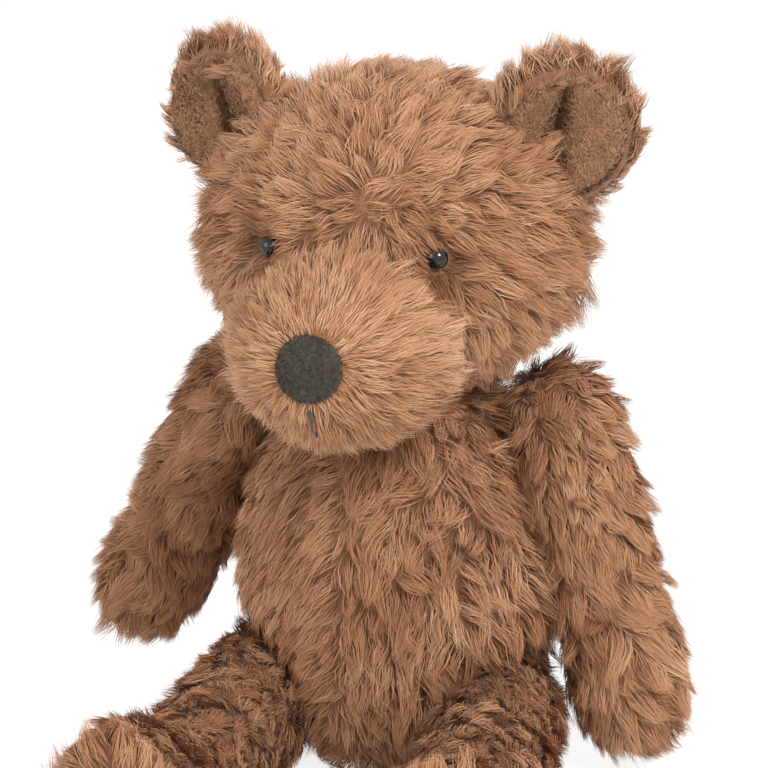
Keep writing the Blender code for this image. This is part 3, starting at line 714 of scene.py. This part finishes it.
def leg(side):
    node = side + "_leg_skin"
    body = side + "_leg"
    middle, axis, near, far = limb_line(node, body)
    thick = 22 * MM
    form = wrap(side + "_leg_form", node, middle + axis * (near + thick),
                middle + axis * (far - thick * 0.8), 44, 40, BODY_GROUND, body,
                hint=(0, 0, 1))
    pad_low, pad_high = (np.array(corner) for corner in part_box(side + "_foot_pad"))
    pad_middle = (pad_low + pad_high) / 2
    meet_pad(form, pad_middle, np.array(axis))
    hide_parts(node)
    sign = 1 if side == "left" else -1

    def reach(points):
        return ((points - middle) @ axis - near) / (far - near)

    def flow(points, normals):
        swirl = waves(points, 35 * MM, 15 + sign)[:, None] * np.cross(axis, UP)
        return axis * (1 - ramp(reach(points), 0.85, 1.0)[:, None]) + 0.12 * swirl + \
            unit(points - pad_middle) * ramp(reach(points), 0.85, 1.0)[:, None]

    def length(points, normals):
        return np.full(len(points), 10.0 * MM) * (1 - 0.5 * (points[:, 2] < 8 * MM))

    def lift(points, normals):
        return 0.38 - 0.30 * ramp(-normals[:, 2], 0.3, 0.9)

    def keep(points, normals):
        away = np.linalg.norm(points - pad_middle, axis=1)
        on_sole = (points - pad_middle) @ axis > -4 * MM
        return np.where(on_sole, ramp(away, 15 * MM, 19 * MM), 1.0)

    grow(side + "_leg_pile", form, body, BODY_PILE, 40000, flow, length, lift,
         lock=4.8 * MM, pull=0.60, mess=0.30, keep=keep,
         shade=lambda p, n: np.full(len(p), 0.52), seed=110 + 10 * sign)


EAR_CUP = radians(52)                            # the cup's half angle
EAR_RADIUS = 26.5 * MM                           # of the cup's sphere
EAR_YAW = radians(14)
EAR_LEAN = radians(8)
EAR_WALL = 3.4 * MM
LINING_WALL = 1.8 * MM


def ear_axes(side):
    """The ear's centre and its own axes: sideways (outwards), up, and forwards."""
    sign = 1 if side == "left" else -1
    facing = np.array([sign * (sin(EAR_YAW) + sin(EAR_LEAN)), -cos(EAR_YAW), 0.0])
    facing = unit(facing)
    sideways = unit(np.cross(UP, -facing)) * sign
    _, points = outer_tree(side + "_ear_back")
    rim = points @ -facing
    deepest = rim.max()
    flat = points[rim > deepest - 1.5 * MM].mean(0)
    high = points.max(0)
    middle = np.array([flat[0], 0.0, high[2] - EAR_RADIUS * sin(EAR_CUP)])
    reach = deepest - EAR_RADIUS
    middle -= facing * (middle @ facing)
    return middle - facing * reach, sideways, UP, facing


def cup_sheet(name, axes, outer, wall, bulge, material):
    """A closed sheet: part of a ball's shell, with its front pushed out by bulge."""
    middle, sideways, up, facing = axes
    rings, sides = 16, 56
    points, faces = [], []
    for layer in (0, 1):
        for ring in range(rings + 1):
            angle = EAR_CUP * ring / rings
            for step in range(sides):
                turn = 2 * pi * step / sides
                across = sin(angle) * cos(turn)
                over = sin(angle) * sin(turn)
                radius = outer - layer * wall
                push = layer * bulge(across / sin(EAR_CUP), over / sin(EAR_CUP))
                point = (middle + sideways * across * radius + up * over * radius
                         - facing * cos(angle) * radius + facing * push)
                points.append(point)
    per = (rings + 1) * sides
    for layer in (0, 1):
        for ring in range(rings):
            for step in range(sides):
                after = (step + 1) % sides
                a = layer * per + ring * sides
                b = a + sides
                quad = (a + step, b + step, b + after, a + after)
                faces.append(quad if layer == 0 else quad[::-1])
    edge = rings * sides
    for step in range(sides):
        after = (step + 1) % sides
        faces.append((edge + step, per + edge + step, per + edge + after, edge + after))
    piece = mesh_piece(name, points, faces, material, "head")
    return weld(piece)


def ear(side):
    sign = 1 if side == "left" else -1
    axes = ear_axes(side)
    middle, sideways, up, facing = axes
    back = cup_sheet(side + "_ear_form", axes, EAR_RADIUS, EAR_WALL, lambda u, v: 0.0,
                     BODY_GROUND)
    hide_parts(side + "_ear_back")

    def folds(across, over):
        """Two lobes with a deep crease between them, flat again at the rim."""
        wedge = 0.10 + 0.14 * max(0.0, 0.7 - over)
        from_crease = (across - 0.18 + 0.20 * over) / wedge
        inside = max(0.0, 1 - across ** 2 - over ** 2)
        return 9.5 * MM * (1 - 2.718 ** (-from_crease ** 2)) * inside ** 0.42

    lining = cup_sheet(side + "_ear_lining_form", axes, EAR_RADIUS - EAR_WALL - 0.3 * MM,
                       LINING_WALL, folds, LINING_GROUND)
    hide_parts(side + "_ear_lining")
    head_low, head_high = (np.array(corner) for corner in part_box("head_skin"))
    head_half = (head_high - head_low) / 2
    head_core = (head_high + head_low) / 2

    def outside(points):
        return (((points - head_core) / head_half) ** 2).sum(1) > 0.97

    def back_keep(points, normals):
        return outside(points) & (normals @ facing < 0.75)

    def lining_keep(points, normals):
        return outside(points) & (normals @ facing > 0.15)

    base = middle - up * EAR_RADIUS * 0.9

    def away(points, normals):
        return unit(points - base) + facing * 0.25

    def length(points, normals):
        return 8.0 * MM + 3.5 * MM * ramp((points - middle) @ up, 0.0, 18 * MM)

    grow(side + "_ear_pile", back, "head", BODY_PILE, 22000, away, length,
         0.48, lock=4.0 * MM, pull=0.66, mess=0.42, keep=back_keep, seed=150 + 10 * sign,
         shade=lambda p, n: np.full(len(p), 0.72))
    grow(side + "_ear_plush", lining, "head", LINING_PILE, 26000,
         lambda p, n: up + 0.3 * sideways, lambda p, n: np.full(len(p), 1.5 * MM), 0.7,
         width=0.22 * MM, lock=1.5 * MM, pull=0.3, mess=0.25, keep=lining_keep,
         seed=180 + 10 * sign)


def turned_piece(name, profile, middle, axis, material, sides=64):
    """A turned piece on the head: profile rows are (radius, height along the axis)."""
    turn = Vector((0, 0, 1)).rotation_difference(Vector(axis)).to_matrix()
    points, faces = [], []
    for radius, height in profile:
        for step in range(sides):
            angle = 2 * pi * step / sides
            flat = Vector((radius * cos(angle), radius * sin(angle), height))
            points.append(tuple(Vector(middle) + turn @ flat))
    for row in range(len(profile) - 1):
        for step in range(sides):
            after = (step + 1) % sides
            low = row * sides
            faces.append((low + step, low + after, low + sides + after, low + sides + step))
    piece = mesh_piece(name, points, faces, material, "head")
    return weld(piece)


def thin_axis(points, towards):
    """The direction in which a flat piece is thinnest."""
    _, _, rows = np.linalg.svd(points - points.mean(0), full_matrices=False)
    axis = rows[2]
    return axis if axis @ towards > 0 else -axis


def nose():
    _, points = outer_tree("nose_felt")
    axis = thin_axis(points, FORWARD)
    middle = points.mean(0)
    radius = np.linalg.norm(points - middle, axis=1).max() - 0.9 * MM
    low = ((points - middle) @ axis).min()
    steps = 8
    dome = [(0.0, low)]
    dome += [(radius, low), (radius, low + 1.0 * MM)]
    for step in range(1, steps + 1):
        turn = pi / 2 * step / steps
        dome.append((radius * cos(turn) if step < steps else 0.0,
                     low + 1.0 * MM + 1.8 * MM * sin(turn)))
    felt = turned_piece("nose_form", dome, middle, axis, NOSE_FELT)
    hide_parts("nose_felt")
    grow("nose_fuzz", felt, "head", FELT_PILE, 9000,
         lambda p, n: waves(p, 3 * MM, 31)[:, None] * SIDEWAYS + UP * 0.3,
         lambda p, n: np.full(len(p), 0.9 * MM), 0.5, width=0.14 * MM, lock=0.8 * MM,
         pull=0.3, mess=0.9, keep=lambda p, n: n @ axis > -0.2, seed=210)


EYE_SUNK = 1.9 * MM                              # how deep a bead sits behind its CAD eye


def eye(side):
    _, points = outer_tree(side + "_eye")
    front = points[points[:, 1] < points[:, 1].min() + 5.0 * MM]
    middle = (front.min(0) + front.max(0)) / 2
    radius = (front.max(0) - front.min(0))[0] / 2
    bead = [(radius * sin(pi * step / 16), -radius * 0.8 * cos(pi * step / 16))
            for step in range(17)]
    sign = 1 if side == "left" else -1
    axis = unit(np.array([0.35 * sign, -1.0, 0.1]))
    made = turned_piece(side + "_eye_bead", bead, middle - axis * EYE_SUNK, axis, EYE,
                        32)
    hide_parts(side + "_eye")


torso()
head()
muzzle()
nose()
for side_name in ("left", "right"):
    ear(side_name)
    eye(side_name)
for side_name in ("left", "right"):
    arm(side_name)
    leg(side_name)


# ================================================================ hidden and small pieces
LOOKS = (                                        # the first ending that fits a node's name
    ("stuffing", STUFFING),
    ("_disc", BOARD),
    ("eye_washer", PLASTIC),
    (("_washer", "_bolt", "_nut"), STEEL),
    ("_eye", EYE),
    ("nose_felt", NOSE_FELT),
    ("mouth_stitch", THREAD),
    ("_foot_pad", PAD_GROUND),
    ("ear_lining", LINING_GROUND),
    ("ear_back", BODY_GROUND),
)


def paint():
    """Give each CAD node that is still seen its own look."""
    for name, node in frame["nodes"].items():
        for ending, look in LOOKS:
            if name.endswith(ending):
                node.material_slots[0].material = look
                break


paint()


# ================================================================ stage, light and camera
def floor_and_light():
    bpy.ops.mesh.primitive_plane_add(size=6, location=(0, 0, -0.2 * MM))
    floor = bpy.context.object
    floor.name = "floor"
    made, nodes, links = new_material("floor_white")
    shader = nodes["Principled BSDF"]
    shader.inputs["Base Color"].default_value = (0.86, 0.86, 0.86, 1.0)
    shader.inputs["Roughness"].default_value = 0.9
    bright = nodes.new("ShaderNodeEmission")
    bright.inputs["Strength"].default_value = 1.07
    mixed = nodes.new("ShaderNodeMixShader")
    seen_part = nodes.new("ShaderNodeMath")
    seen_part.operation = "MULTIPLY"
    seen_part.inputs[1].default_value = 0.8
    rays = nodes.new("ShaderNodeLightPath")
    links.new(rays.outputs["Is Camera Ray"], seen_part.inputs[0])
    links.new(seen_part.outputs[0], mixed.inputs[0])
    links.new(shader.outputs[0], mixed.inputs[1])
    links.new(bright.outputs[0], mixed.inputs[2])
    links.new(mixed.outputs[0], nodes["Material Output"].inputs["Surface"])
    floor.data.materials.append(made)
    world = bpy.data.worlds.new("studio")
    bpy.context.scene.world = world
    world.use_nodes = True
    nodes = world.node_tree.nodes
    links = world.node_tree.links
    ambient = nodes["Background"]
    ambient.inputs["Color"].default_value = (1.0, 1.0, 1.0, 1.0)
    ambient.inputs["Strength"].default_value = 0.75
    seen = nodes.new("ShaderNodeBackground")
    seen.inputs["Color"].default_value = (1.0, 1.0, 1.0, 1.0)
    seen.inputs["Strength"].default_value = 1.0
    rays = nodes.new("ShaderNodeLightPath")
    either = nodes.new("ShaderNodeMath")
    either.operation = "MAXIMUM"
    both = nodes.new("ShaderNodeMath")
    both.operation = "MAXIMUM"
    mix = nodes.new("ShaderNodeMixShader")
    links.new(rays.outputs["Is Camera Ray"], either.inputs[0])
    links.new(rays.outputs["Is Glossy Ray"], either.inputs[1])
    links.new(either.outputs[0], both.inputs[0])
    links.new(rays.outputs["Is Transmission Ray"], both.inputs[1])
    links.new(both.outputs[0], mix.inputs[0])
    links.new(ambient.outputs[0], mix.inputs[1])
    links.new(seen.outputs[0], mix.inputs[2])
    links.new(mix.outputs[0], nodes["World Output"].inputs["Surface"])

    def lamp(name, place, aim, size, power):
        data = bpy.data.lights.new(name, "AREA")
        data.shape = "DISK"
        data.size = size
        data.energy = power
        made = bpy.data.objects.new(name, data)
        bpy.context.scene.collection.objects.link(made)
        made.location = place
        made.rotation_euler = (Vector(aim) - Vector(place)).to_track_quat("-Z", "Y").to_euler()

    aim = (0, 0, 0.11)
    lamp("key", (0.70, -0.75, 0.95), aim, 0.45, 13.0)
    lamp("fill", (-0.80, -0.90, 0.50), aim, 0.8, 4.0)
    lamp("back", (-0.30, 0.90, 0.90), aim, 0.6, 5.0)


def camera():
    azimuth = radians(15)
    elevation = radians(18.5)
    distance = 0.80
    frame_width = 0.238                              # metres seen across at the target
    target = Vector((-0.004, 0.0, 0.1225))
    away = Vector((sin(azimuth) * cos(elevation), -cos(azimuth) * cos(elevation),
                   sin(elevation)))
    data = bpy.data.cameras.new("camera")
    made = bpy.data.objects.new("camera", data)
    bpy.context.scene.collection.objects.link(made)
    made.location = target + away * distance
    made.rotation_euler = (-away).to_track_quat("-Z", "Y").to_euler()
    data.sensor_width = 36
    data.lens = data.sensor_width * distance / frame_width
    bpy.context.scene.camera = made


floor_and_light()
camera()
bpy.context.scene.view_settings.view_transform = "Standard"
